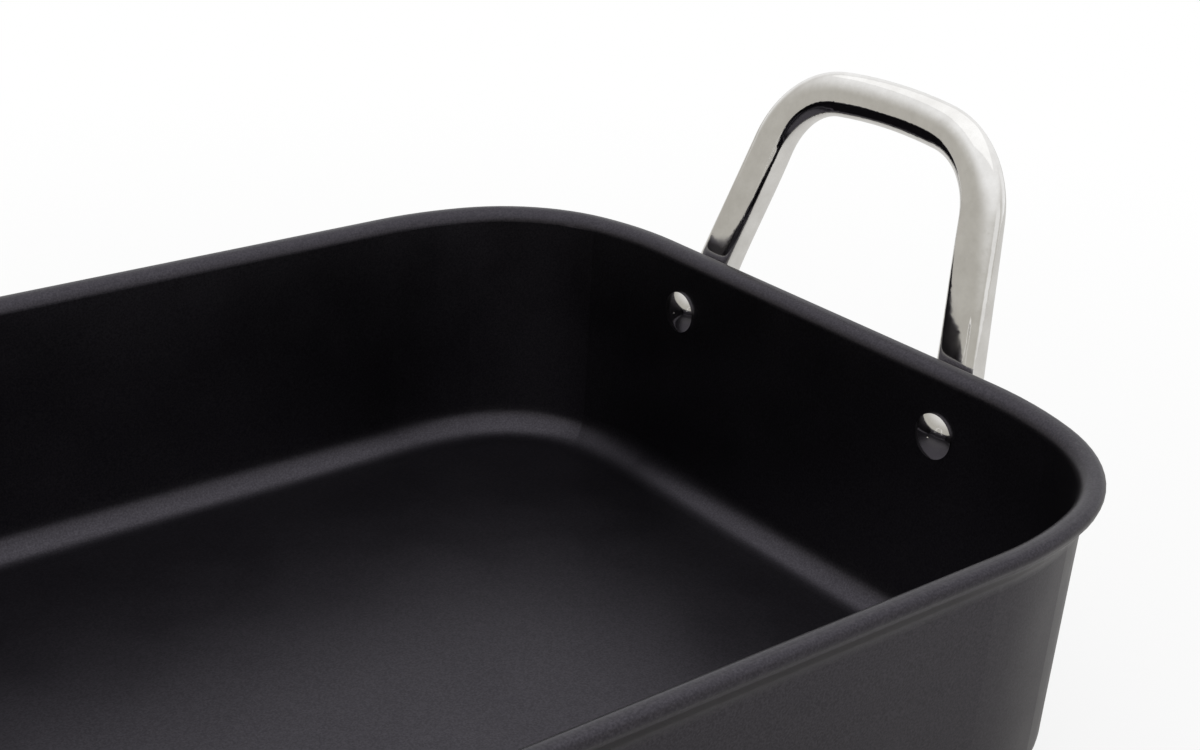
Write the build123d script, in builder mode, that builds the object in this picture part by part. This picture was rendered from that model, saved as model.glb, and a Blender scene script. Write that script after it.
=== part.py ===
"""Deep roasting pan with a loop handle riveted to each short side.

The pan is one piece of thick sheet: a flat floor, drafted walls and a rolled lip.
Each handle is a cast loop that leans outwards over the rim.
Two rivets hold each handle, with their domed heads inside the pan.
Millimetres. The origin is the centre of the underside, +X runs to one handle, +Z is up.
"""
import os
from math import cos, radians, sin, tan

from build123d import *

# Pan: outer size over the lip
pan_length = 406.0
pan_width = 330.0
pan_height = 97.0

# Pan: corners of the lip seen from above, a tight arc between two gentle ones
corner_tight_radius = 64.0
corner_gentle_radius = 118.0
corner_gentle_angle = 18.0

# Pan: sheet and walls
sheet = 3.0
wall_draft = 3.0
wall_setback = 4.7
floor_fillet = 12.0
underside_fillet = 13.5

# Pan: rolled lip
lip_inner_radius = 4.8
lip_outer_radius = 2.2
lip_side_height = 2.8
lip_side_radius = 2.5
lip_edge_height = 4.5
lip_edge_depth = 0.6
lip_edge_radius = 0.7
neck_height = 10.8
neck_radius = 7.0

# Rivets: domed heads inside the pan, low tails on the feet of the handles
rivet_head_radius = 7.8
rivet_head_edge = 0.7
rivet_head_crown = 2.2
rivet_shank_radius = 3.2
rivet_tail_radius = 5.0
rivet_tail_edge = 0.6
rivet_tail_crown = 1.8
rivet_clearance = 0.05

# Handles: the loop lies in a plane that leans outwards
handle_lean = 16.2
handle_rim_gap = 2.4
handle_thickness = 10.6
handle_splay = 11.7
handle_rise = 79.8
handle_crown_radius = 213.0
handle_shoulder_radius = 32.0
handle_leg_width = 16.4
handle_shoulder_width = 16.0
handle_bar_width = 15.8

# Handles: fullness of the section's four corners, 0.55 for an ellipse and 1 for a tight
# corner, in the order pan side outer, back outer, back inner, pan side inner
foot_corner_shares = (0.7, 0.7, 0.7, 0.7)
leg_corner_shares = (0.78, 0.56, 0.8, 0.95)
middle_corner_shares = (0.74, 0.58, 0.9, 0.95)
shoulder_corner_shares = (0.62, 0.59, 0.97, 0.84)
bar_corner_shares = (0.61, 0.61, 0.66, 0.52)

# Handles: round feet, seated on the wall inside the straight part of the short side
foot_radius = 11.5
foot_swell = 0.7
foot_corner_clearance = 4.0
seat_radius = 9.5
seat_neck_clearance = 2.9
seat_overlap = 2.0
tail_recess = 2.4
tail_recess_margin = 1.0

# One overrun serves every cut
overrun = 1.0

# Worked out from the sizes above
half_length = pan_length / 2
half_width = pan_width / 2
draft_slope = tan(radians(wall_draft))
inner_setback = wall_setback + sheet / cos(radians(wall_draft))
corner_tight_angle = 90 - 2 * corner_gentle_angle
floor_edge_inset = draft_slope * pan_height + max(
    inner_setback + floor_fillet, wall_setback + underside_fillet
)
plate_inset = floor_edge_inset + sheet
rivet_drop = neck_height + seat_neck_clearance + seat_radius


def wall_point(setback, depth):
    """Section point on a drafted face that leaves rim level at the setback."""
    return (half_length - setback - draft_slope * depth, pan_height - depth)


# Half of the short side's straight part: what the corner leaves of it
gentle = radians(corner_gentle_angle)
gentle_reach = corner_gentle_radius * (sin(gentle) + 1 - cos(gentle))
tight_reach = corner_tight_radius * (cos(gentle) - sin(gentle))
straight_half = half_width - gentle_reach - tight_reach
rivet_y = straight_half - foot_corner_clearance - foot_radius


def quarter_outline(inset):
    """One quarter of the pan's outline, drawn inside the lip by the inset."""
    gentle_radius = corner_gentle_radius - inset
    tight_radius = corner_tight_radius - inset
    end_x = half_length - inset
    end_line = Line((end_x, 0), (end_x, straight_half))
    first = JernArc(end_line @ 1, end_line % 1, gentle_radius, corner_gentle_angle)
    middle = JernArc(first @ 1, first % 1, tight_radius, corner_tight_angle)
    last = JernArc(middle @ 1, middle % 1, gentle_radius, corner_gentle_angle)
    Line(last @ 1, (0, half_width - inset))


# Pan: a quarter of the wall is swept along the outline, the floor closes it, and it is mirrored
with BuildPart() as pan_body:
    with BuildLine() as rim_quarter:
        quarter_outline(0)
    with BuildSketch(Plane.XZ) as wall_section:
        floor_corner = wall_point(inner_setback, pan_height - sheet)
        crest_inner = wall_point(inner_setback, 0)
        crest_outer = (half_length, pan_height)
        lip_side = (half_length, pan_height - lip_side_height)
        lip_edge = (half_length - lip_edge_depth, pan_height - lip_edge_height)
        neck = wall_point(wall_setback, neck_height)
        underside_corner = wall_point(wall_setback, pan_height)
        with BuildLine():
            Polyline(
                (half_length - plate_inset, sheet),
                floor_corner,
                crest_inner,
                crest_outer,
                lip_side,
                lip_edge,
                neck,
                underside_corner,
                (half_length - plate_inset, 0),
                close=True,
            )
        make_face()
        rounded_corners = (
            (floor_corner, floor_fillet),
            (crest_inner, lip_inner_radius),
            (crest_outer, lip_outer_radius),
            (lip_side, lip_side_radius),
            (lip_edge, lip_edge_radius),
            (neck, neck_radius),
            (underside_corner, underside_fillet),
        )
        for corner, corner_radius in rounded_corners:
            fillet(wall_section.vertices().sort_by_distance(Vector(*corner))[0], corner_radius)
    sweep(path=rim_quarter.wires()[0])
    with BuildSketch() as floor_plate:
        with BuildLine() as plate_quarter:
            quarter_outline(floor_edge_inset)
            Line(plate_quarter.line @ 1, (0, 0))
            Line((0, 0), plate_quarter.line @ 0)
        make_face()
    extrude(amount=sheet)
    mirror(about=Plane.XZ)
    mirror(about=Plane.YZ)

# Rivet axis: it starts on the wall's outer face and points out of the pan, square to the wall
draft = radians(wall_draft)
lean = radians(handle_lean)
splay = radians(handle_splay)
rivet_x, rivet_z = wall_point(wall_setback, rivet_drop)
wall_plane = Plane(
    origin=(rivet_x, 0, rivet_z),
    x_dir=(0, 1, 0),
    z_dir=(cos(draft), 0, -sin(draft)),
)
rivet_places = {
    "front": wall_plane.location * Location((-rivet_y, 0, 0)),
    "rear": wall_plane.location * Location((rivet_y, 0, 0)),
}

# The handle's inner face: local X runs along Y, local Y up the loop
handle_plane = Plane(
    origin=(half_length + handle_rim_gap, 0, pan_height),
    x_dir=(0, 1, 0),
    z_dir=(cos(lean), 0, -sin(lean)),
)

# Along the rivet axis: where the handle's faces lie, and where the tail sits
axis_point = handle_plane.to_local_coords(Vector(rivet_x, 0, rivet_z))
inner_face_reach = -axis_point.Z / cos(lean - draft)
outer_face_reach = (handle_thickness - axis_point.Z) / cos(lean - draft)
tail_seat = outer_face_reach - tail_recess
tail_recess_radius = rivet_tail_radius + tail_recess_margin
foot_height = axis_point.Y + sin(lean - draft) * outer_face_reach / 2
seat_height = inner_face_reach + seat_radius * tan(lean - draft) + seat_overlap

# Holes for the rivets, square to the wall
with BuildPart() as right_holes:
    for place in rivet_places.values():
        with Locations(place):
            Cylinder(rivet_shank_radius + rivet_clearance, 2 * (outer_face_reach + sheet + overrun))

with pan_body:
    add(right_holes.part, mode=Mode.SUBTRACT)
    add(right_holes.part.mirror(Plane.YZ), mode=Mode.SUBTRACT)


def section_face(plane, width, swell, corner_shares):
    """Handle section on a plane: one curve for each corner, with a fullness of its own.

    Local X points away from the pan, local Y out of the loop. The swell thickens the
    section towards the pan.
    """
    across = width / 2
    deep = handle_thickness / 2
    pan_side = -deep - swell
    corners = ((pan_side, across), (deep, across), (deep, -across), (pan_side, -across))
    with BuildSketch(plane) as face:
        with BuildLine():
            for (x, y), share in zip(corners, corner_shares):
                ends = [(x, 0), (x, share * y), (share * x, y), (0, y)]
                Bezier(*(ends if x * y < 0 else reversed(ends)))
        make_face()
    return face.sketch


# Centre line of the loop, from the rear foot over the crown to the front foot
with BuildLine(Plane.XY) as loop_line:
    crown_centre = (0, handle_rise - handle_bar_width / 2 - handle_crown_radius)
    crown_guide = CenterArc(crown_centre, handle_crown_radius, 0, 90, mode=Mode.PRIVATE)
    rear_leg = IntersectingLine((rivet_y, foot_height), (-sin(splay), cos(splay)), crown_guide)
    shoulder = rear_leg @ 1
    RadiusArc(shoulder, (-shoulder.X, shoulder.Y), -handle_crown_radius)
    Line((-shoulder.X, shoulder.Y), (-rivet_y, foot_height))
    for corner in loop_line.vertices().sort_by(Axis.Y)[-2:]:
        fillet(corner, handle_shoulder_radius)
loop_path = loop_line.wires()[0].moved(handle_plane.offset(handle_thickness / 2).location)

# Sections from a foot to the crown: how far along the loop, width, swell and corners
leg_edge, shoulder_edge = loop_path.edges()[:2]
foot_end = 2 * foot_radius
leg_end = leg_edge.length
bar_start = leg_end + shoulder_edge.length
leg_middle = (foot_end + leg_end) / 2
middle_width = (handle_leg_width + handle_shoulder_width) / 2
stations = (
    (0, 2 * foot_radius, foot_swell, foot_corner_shares),
    (foot_end, handle_leg_width, foot_swell, leg_corner_shares),
    (leg_middle, middle_width, 0, middle_corner_shares),
    (leg_end, handle_shoulder_width, 0, shoulder_corner_shares),
    (bar_start, handle_bar_width, 0, bar_corner_shares),
)


def station_face(share, *shape):
    """Section at a share of the loop's length, square to its centre line."""
    plane = Plane(origin=loop_path @ share, x_dir=handle_plane.z_dir, z_dir=loop_path % share)
    return section_face(plane, *shape)


crown_share = 1 / 2
length = loop_path.length
sections = [station_face(reach / length, *shape) for reach, *shape in stations]
sections.append(station_face(crown_share, handle_bar_width, 0, bar_corner_shares))
sections += [station_face(1 - reach / length, *shape) for reach, *shape in reversed(stations)]

# Half of the first section, turned about its own middle, rounds off the foot
foot_axis = Axis(loop_path @ 0, -handle_plane.z_dir)
foot_split = Plane(origin=loop_path @ 0, z_dir=(loop_path % 0).cross(handle_plane.z_dir))
foot_half = split(sections[0], bisect_by=foot_split, keep=Keep.TOP)

# Handle: two round feet and the swept loop, then seated on the wall
with BuildPart() as handle_right:
    revolve(foot_half, axis=foot_axis, revolution_arc=180)
    mirror(about=Plane.XZ)
    sweep(sections, path=loop_path, multisection=True)
    with BuildSketch(wall_plane):
        Rectangle(2 * pan_width, 2 * handle_rise)
    extrude(amount=-handle_thickness - overrun, mode=Mode.SUBTRACT)
    for place in rivet_places.values():
        with Locations(place):
            Cylinder(seat_radius, seat_height, align=(Align.CENTER, Align.CENTER, Align.MIN))
        with Locations(place * Location((0, 0, tail_seat))):
            Cylinder(
                tail_recess_radius,
                handle_thickness,
                align=(Align.CENTER, Align.CENTER, Align.MIN),
                mode=Mode.SUBTRACT,
            )
    add(right_holes.part, mode=Mode.SUBTRACT)

with BuildPart() as handle_left:
    add(handle_right.part.mirror(Plane.YZ))

# Rivet, drawn on its own axis: the wall's outer face is at height zero, the tail is up
with BuildPart() as rivet:
    with BuildSketch(Plane.XZ):
        with BuildLine():
            head_flat = -sheet - rivet_head_edge
            head_top = head_flat - rivet_head_crown
            tail_flat = tail_seat + rivet_tail_edge
            tail_top = tail_flat + rivet_tail_crown
            head_dome = RadiusArc(
                (0, head_top),
                (rivet_head_radius, head_flat),
                -(rivet_head_radius**2 + rivet_head_crown**2) / (2 * rivet_head_crown),
            )
            Polyline(
                head_dome @ 1,
                (rivet_head_radius, -sheet),
                (rivet_shank_radius, -sheet),
                (rivet_shank_radius, tail_seat),
                (rivet_tail_radius, tail_seat),
                (rivet_tail_radius, tail_flat),
            )
            RadiusArc(
                (rivet_tail_radius, tail_flat),
                (0, tail_top),
                -(rivet_tail_radius**2 + rivet_tail_crown**2) / (2 * rivet_tail_crown),
            )
            Line((0, tail_top), (0, head_top))
        make_face()
    revolve(axis=Axis.Z)

# Every piece by its name
pieces = {
    "pan_body": pan_body.part,
    "handle_right": handle_right.part,
    "handle_left": handle_left.part,
}
for side, place in rivet_places.items():
    right_rivet = rivet.part.moved(place)
    pieces[f"rivet_right_{side}"] = right_rivet
    pieces[f"rivet_left_{side}"] = right_rivet.mirror(Plane.YZ)

os.makedirs("parts", exist_ok=True)
for name, piece in pieces.items():
    piece.label = name
    export_step(piece, f"parts/{name}.step")
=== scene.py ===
"""Studio scene for the roasting pan: camera, white surroundings, coating and polished steel."""

from math import cos, radians, sin

import bpy
from mathutils import Matrix, Vector

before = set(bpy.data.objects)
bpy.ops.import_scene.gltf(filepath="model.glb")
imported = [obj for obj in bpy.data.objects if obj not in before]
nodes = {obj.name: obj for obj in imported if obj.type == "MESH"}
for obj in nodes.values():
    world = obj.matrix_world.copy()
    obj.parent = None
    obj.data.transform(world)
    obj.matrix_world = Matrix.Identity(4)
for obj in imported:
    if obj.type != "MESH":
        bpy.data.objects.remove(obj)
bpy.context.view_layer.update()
scene = bpy.context.scene

MM = 0.001
WHITE = (1.0, 1.0, 1.0, 1.0)

# Camera: fitted to the rim, the rivets and the handle in the photograph; turns in degrees
CAMERA_PLACE = Vector((-230.2, -438.3, 334.6)) * MM
CAMERA_HEADING = 37.48
CAMERA_PITCH = 23.60
CAMERA_ROLL = 1.49
CAMERA_LENS = 55.75
CAMERA_CLIP = 0.01
SENSOR_WIDTH = 36.0

# Studio: bright behind the pan, high up and at the fill card, dim low down elsewhere. Starts and
# ends are cosines to the direction, and for the height the sine of the angle above the horizon.
BACK_HEADING = radians(20)
BACK_DIRECTION = (cos(BACK_HEADING), sin(BACK_HEADING), 0.0)
BACK_START, BACK_END = 0.0, 0.7
HIGH_START, HIGH_END = 0.15, 0.68
CARD_DIRECTION = (0.084, -0.962, 0.259)
CARD_START, CARD_END = 0.89, 0.97
CARD_LEVEL = 0.75
STUDIO_DIM = (0.47, 0.455, 0.42, 1.0)
STUDIO_BRIGHT = (0.90, 0.90, 0.90, 1.0)

# Softbox above the pan, in metres and watts
SOFTBOX_PLACE = Vector((0.3, 0.3, 1.5))
SOFTBOX_TARGET = Vector((0.1, 0.1, 0.1))
SOFTBOX_SIZE = 2.0
SOFTBOX_POWER = 2.2

# Floor: keeps a faint shadow near the pan and fades to white away from it; in reflections it
# dims towards the far left
FLOOR_REACH = 6.0
FLOOR_DROP = 0.0002
FLOOR_COLOUR = (0.9, 0.9, 0.9, 1.0)
FLOOR_WHITE_SHARE = 0.82
FLOOR_FADE_START, FLOOR_FADE_END = 0.2, 0.8
FLOOR_DIM_SHARE = 0.5
FLOOR_DIM_DIRECTION = (-0.73, 0.68, 0.0)
FLOOR_DIM_START, FLOOR_DIM_END = 0.22, 0.50

# Coating: a dark sheen with a fine grain, and patches that are a little rougher
COATING_DARK = (0.047, 0.044, 0.052, 1.0)
COATING_LIGHT = (0.077, 0.072, 0.084, 1.0)
COATING_ROUGHNESS = (0.32, 0.37)
GRAIN_NOISE = {"Scale": 1500.0, "Detail": 2.0, "Roughness": 0.6}
GRAIN_DARK_STOP, GRAIN_LIGHT_STOP = 0.35, 0.72
GRAIN_STRENGTH, GRAIN_DEPTH = 0.35, 0.00004
PATCH_NOISE = {"Scale": 28.0, "Detail": 4.0, "Roughness": 0.6}
PATCH_RANGE = (0.3, 0.7)

# Steel: polished, with faint smears and a slight waviness
STEEL_DULL = (0.82, 0.808, 0.79, 1.0)
STEEL_CLEAR = (0.93, 0.922, 0.908, 1.0)
SMEAR_NOISE = {"Scale": 90.0, "Detail": 5.0, "Roughness": 0.65}
SMEAR_DULL_STOP, SMEAR_CLEAR_STOP = 0.35, 0.65
SMEAR_RANGE = (0.3, 0.75)
SMEAR_ROUGHNESS_SHARES = (0.7, 1.5)
WAVE_NOISE = {"Scale": 55.0, "Detail": 1.5, "Roughness": 0.4}
HANDLE_ROUGHNESS, HANDLE_WAVE = 0.07, 0.00006
RIVET_ROUGHNESS, RIVET_WAVE = 0.10, 0.00002

# Bend: near the rim the legs' reflections tilt down to the pan, most at the lower height
BEND_LOW, BEND_HIGH = 0.092, 0.136
BEND_SLOPE = 0.15
BEND_POWER = 2.0
BEND_DEPTH = BEND_SLOPE * (BEND_HIGH - BEND_LOW) / BEND_POWER


class Shader:
    """Small helper that wires up the nodes of a material or a world."""

    def __init__(self, tree, output_kind):
        self.tree = tree
        self.tree.nodes.clear()
        self.output = self.node(output_kind)

    def node(self, kind, **settings):
        node = self.tree.nodes.new(kind)
        for key, value in settings.items():
            if key in node.inputs:
                node.inputs[key].default_value = value
            else:
                setattr(node, key, value)
        return node

    def link(self, source, target):
        self.tree.links.new(source, target)

    def math(self, operation, first, second):
        """Value socket of a sum on two sockets, or on a socket and a number."""
        node = self.node("ShaderNodeMath", operation=operation)
        self.link(first, node.inputs[0])
        if isinstance(second, float):
            node.inputs[1].default_value = second
        else:
            self.link(second, node.inputs[1])
        return node.outputs[0]

    def noise(self, vector, settings):
        """Factor socket of a noise texture."""
        node = self.node("ShaderNodeTexNoise", **settings)
        self.link(vector, node.inputs["Vector"])
        return node.outputs["Fac"]

    def ramp(self, source, target, *stops):
        """Colour ramp from a factor to a colour socket."""
        node = self.node("ShaderNodeValToRGB")
        for element, (position, colour) in zip(node.color_ramp.elements, stops):
            element.position = position
            element.color = colour
        self.link(source, node.inputs["Fac"])
        self.link(node.outputs["Color"], target)

    def map_range(self, source, low, high, to_low, to_high, smooth=True):
        """Value socket that runs from to_low to to_high while the source runs low to high."""
        node = self.node("ShaderNodeMapRange")
        node.interpolation_type = "SMOOTHSTEP" if smooth else "LINEAR"
        node.clamp = True
        limits = {"From Min": low, "From Max": high, "To Min": to_low, "To Max": to_high}
        for name, value in limits.items():
            node.inputs[name].default_value = value
        self.link(source, node.inputs["Value"])
        return node.outputs["Result"]

    def gradient(self, vector, direction, low, high, to_high, to_low=0.0):
        """Value socket that grows as the vector turns into the direction."""
        along = self.node("ShaderNodeVectorMath", operation="DOT_PRODUCT")
        along.inputs[1].default_value = direction
        self.link(vector, along.inputs[0])
        return self.map_range(along.outputs["Value"], low, high, to_low, to_high)

    def bump(self, height, target, strength, depth, below=None):
        """Bump from a height to a normal socket, over the normal of another bump if given."""
        node = self.node("ShaderNodeBump", Strength=strength, Distance=depth)
        self.link(height, node.inputs["Height"])
        if below is not None:
            self.link(below, node.inputs["Normal"])
        if target is not None:
            self.link(node.outputs["Normal"], target)
        return node.outputs["Normal"]

    def blend(self, share, first, second):
        """Shader socket between two shaders, the second one's at a share of 1."""
        node = self.node("ShaderNodeMixShader")
        self.link(share, node.inputs["Fac"])
        self.link(first, node.inputs[1])
        self.link(second, node.inputs[2])
        return node.outputs[0]


def new_material(name):
    """A material without nodes but its output, and the helper that wires it up."""
    material = bpy.data.materials.new(name)
    material.use_nodes = True
    return material, Shader(material.node_tree, "ShaderNodeOutputMaterial")


def put_on(node_name, material):
    mesh = nodes[node_name].data
    mesh.materials.clear()
    mesh.materials.append(material)


def add_camera():
    data = bpy.data.cameras.new("camera")
    data.sensor_width = SENSOR_WIDTH
    data.lens = CAMERA_LENS
    data.clip_start = CAMERA_CLIP
    camera = bpy.data.objects.new("camera", data)
    scene.collection.objects.link(camera)
    turn = (
        Matrix.Rotation(radians(-CAMERA_HEADING), 4, "Z")
        @ Matrix.Rotation(radians(90 - CAMERA_PITCH), 4, "X")
        @ Matrix.Rotation(radians(CAMERA_ROLL), 4, "Z")
    )
    camera.matrix_world = Matrix.Translation(CAMERA_PLACE) @ turn
    scene.camera = camera


def add_world():
    """White studio, with a dimmer band low down on the side where the camera stands."""
    world = bpy.data.worlds.new("studio")
    scene.world = world
    world.use_nodes = True
    s = Shader(world.node_tree, "ShaderNodeOutputWorld")
    direction = s.node("ShaderNodeTexCoord").outputs["Generated"]
    parts = s.node("ShaderNodeSeparateXYZ")
    s.link(direction, parts.inputs[0])
    back = s.gradient(direction, BACK_DIRECTION, BACK_START, BACK_END, 1.0)
    card = s.gradient(direction, CARD_DIRECTION, CARD_START, CARD_END, CARD_LEVEL)
    high = s.map_range(parts.outputs["Z"], HIGH_START, HIGH_END, 0.0, 1.0)
    level = s.node("ShaderNodeMix", data_type="RGBA")
    s.link(s.math("MAXIMUM", s.math("MAXIMUM", back, card), high), level.inputs["Factor"])
    dim, bright = (socket for socket in level.inputs if socket.type == "RGBA")
    dim.default_value = STUDIO_DIM
    bright.default_value = STUDIO_BRIGHT
    lit = s.node("ShaderNodeBackground")
    s.link(level.outputs[2], lit.inputs["Color"])
    white = s.node("ShaderNodeBackground", Color=WHITE)
    path = s.node("ShaderNodeLightPath")
    look = s.blend(path.outputs["Is Camera Ray"], lit.outputs[0], white.outputs[0])
    s.link(look, s.output.inputs["Surface"])


def add_floor():
    ends = (-FLOOR_REACH, FLOOR_REACH)
    mesh = bpy.data.meshes.new("floor")
    corners = [(ends[i], ends[j], 0.0) for i, j in ((0, 0), (1, 0), (1, 1), (0, 1))]
    mesh.from_pydata(corners, [], [(0, 1, 2, 3)])
    floor = bpy.data.objects.new("floor", mesh)
    scene.collection.objects.link(floor)
    floor.location.z = -FLOOR_DROP
    material, s = new_material("floor_white")
    place = s.node("ShaderNodeTexCoord").outputs["Object"]
    path = s.node("ShaderNodeLightPath")
    distance = s.node("ShaderNodeVectorMath", operation="LENGTH")
    s.link(place, distance.inputs[0])
    fading = s.map_range(
        distance.outputs["Value"], FLOOR_FADE_START, FLOOR_FADE_END, FLOOR_WHITE_SHARE, 1.0
    )
    dimming = s.gradient(
        place, FLOOR_DIM_DIRECTION, FLOOR_DIM_START, FLOOR_DIM_END, 1.0, FLOOR_DIM_SHARE
    )
    diffuse = s.node("ShaderNodeBsdfDiffuse", Color=FLOOR_COLOUR)
    white = s.node("ShaderNodeEmission", Color=WHITE, Strength=1.0)
    dim = s.node("ShaderNodeEmission", Color=STUDIO_DIM, Strength=1.0)
    seen = s.math("MULTIPLY", path.outputs["Is Camera Ray"], fading)
    mirrored = s.math("MULTIPLY", dimming, path.outputs["Is Glossy Ray"])
    look = s.blend(seen, diffuse.outputs[0], white.outputs[0])
    look = s.blend(mirrored, look, dim.outputs[0])
    s.link(look, s.output.inputs["Surface"])
    mesh.materials.append(material)


def add_softbox():
    data = bpy.data.lights.new("softbox", "AREA")
    data.shape = "RECTANGLE"
    data.size = data.size_y = SOFTBOX_SIZE
    data.energy = SOFTBOX_POWER
    lamp = bpy.data.objects.new("softbox", data)
    scene.collection.objects.link(lamp)
    lamp.location = SOFTBOX_PLACE
    aim = SOFTBOX_TARGET - SOFTBOX_PLACE
    lamp.rotation_euler = aim.to_track_quat("-Z", "Y").to_euler()


def coating_material():
    """Nearly black satin nonstick coating: its look is all in the gloss and a fine grain."""
    material, s = new_material("pan_coating")
    bsdf = s.node("ShaderNodeBsdfPrincipled", Metallic=1.0)
    place = s.node("ShaderNodeTexCoord").outputs["Object"]
    grain = s.noise(place, GRAIN_NOISE)
    patches = s.noise(place, PATCH_NOISE)
    s.ramp(
        grain,
        bsdf.inputs["Base Color"],
        (GRAIN_DARK_STOP, COATING_DARK),
        (GRAIN_LIGHT_STOP, COATING_LIGHT),
    )
    rough = s.map_range(patches, *PATCH_RANGE, *COATING_ROUGHNESS)
    s.link(rough, bsdf.inputs["Roughness"])
    s.bump(grain, bsdf.inputs["Normal"], GRAIN_STRENGTH, GRAIN_DEPTH)
    s.link(bsdf.outputs["BSDF"], s.output.inputs["Surface"])
    return material


def steel_material(name, roughness, wave, bend_depth):
    """Polished cast steel: clean reflections with a slight waviness and faint smears."""
    material, s = new_material(name)
    bsdf = s.node("ShaderNodeBsdfPrincipled", Metallic=1.0)
    place = s.node("ShaderNodeTexCoord").outputs["Object"]
    smear = s.noise(place, SMEAR_NOISE)
    s.ramp(
        smear,
        bsdf.inputs["Base Color"],
        (SMEAR_DULL_STOP, STEEL_DULL),
        (SMEAR_CLEAR_STOP, STEEL_CLEAR),
    )
    rough_range = [roughness * share for share in SMEAR_ROUGHNESS_SHARES]
    s.link(s.map_range(smear, *SMEAR_RANGE, *rough_range), bsdf.inputs["Roughness"])
    waves = s.bump(s.noise(place, WAVE_NOISE), None, 1.0, wave)
    parts = s.node("ShaderNodeSeparateXYZ")
    s.link(place, parts.inputs[0])
    lowness = s.map_range(parts.outputs["Z"], BEND_LOW, BEND_HIGH, 1.0, 0.0, smooth=False)
    curve = s.math("POWER", lowness, BEND_POWER)
    s.bump(curve, bsdf.inputs["Normal"], 1.0, -bend_depth, waves)
    s.link(bsdf.outputs["BSDF"], s.output.inputs["Surface"])
    return material


scene.view_settings.view_transform = "Standard"
add_camera()
add_world()
add_floor()
add_softbox()

handle_steel = steel_material("handle_steel", HANDLE_ROUGHNESS, HANDLE_WAVE, BEND_DEPTH)
rivet_steel = steel_material("rivet_steel", RIVET_ROUGHNESS, RIVET_WAVE, 0.0)
put_on("pan_body", coating_material())
for side in ("right", "left"):
    put_on(f"handle_{side}", handle_steel)
    for end in ("front", "rear"):
        put_on(f"rivet_{side}_{end}", rivet_steel)
